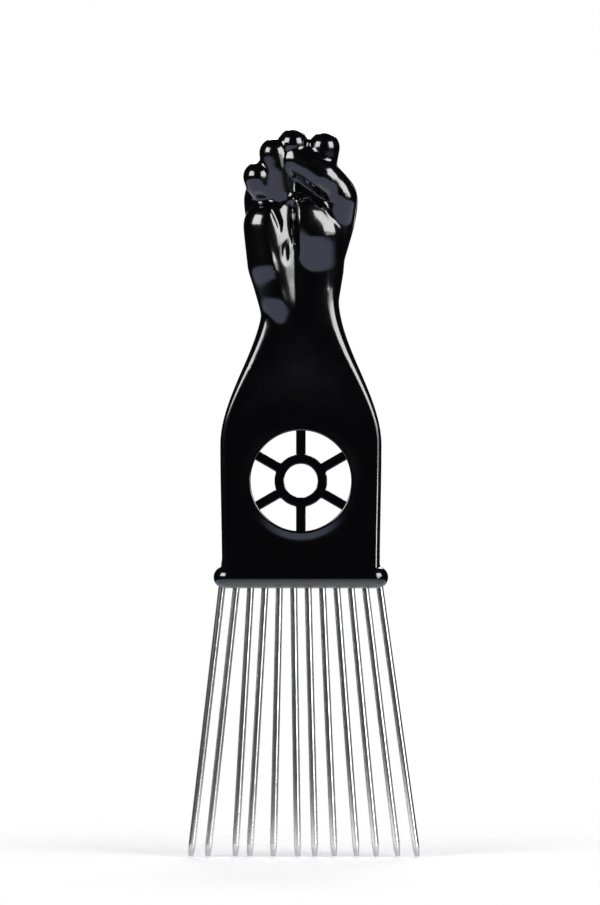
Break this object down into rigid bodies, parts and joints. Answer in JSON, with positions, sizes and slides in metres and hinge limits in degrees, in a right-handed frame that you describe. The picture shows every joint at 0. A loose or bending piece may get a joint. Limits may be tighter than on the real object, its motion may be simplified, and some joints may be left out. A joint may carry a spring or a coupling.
{
  "type": "afro pick",
  "caption": "Wide-toothed lifting comb: round steel wire tines fanned out of a glossy black moulded handle with a pierced plate and a raised-fist grip.",
  "frame": {"origin": "bottom centre of the bounding box, at the level of the tine tips and under the middle of the handle", "axes": "+Z from the tine tips to the knuckles, +X across the fan towards the thumb side of the fist, +Y towards the back of the hand; the palm side of the fist faces -Y"},
  "size_m": [0.0524, 0.0174, 0.1652],
  "materials": {
    "handle_plastic": "high gloss black moulded plastic",
    "tine_steel": "drawn steel wire, satin, with paler ground tips"
  },
  "bodies": {
    "root": {"handle": "handle_plastic", "tine_01": "tine_steel", "tine_02": "tine_steel", "tine_03": "tine_steel", "tine_04": "tine_steel", "tine_05": "tine_steel", "tine_06": "tine_steel", "tine_07": "tine_steel", "tine_08": "tine_steel", "tine_09": "tine_steel", "tine_10": "tine_steel", "tine_11": "tine_steel", "tine_12": "tine_steel"}
  },
  "joints": []
}
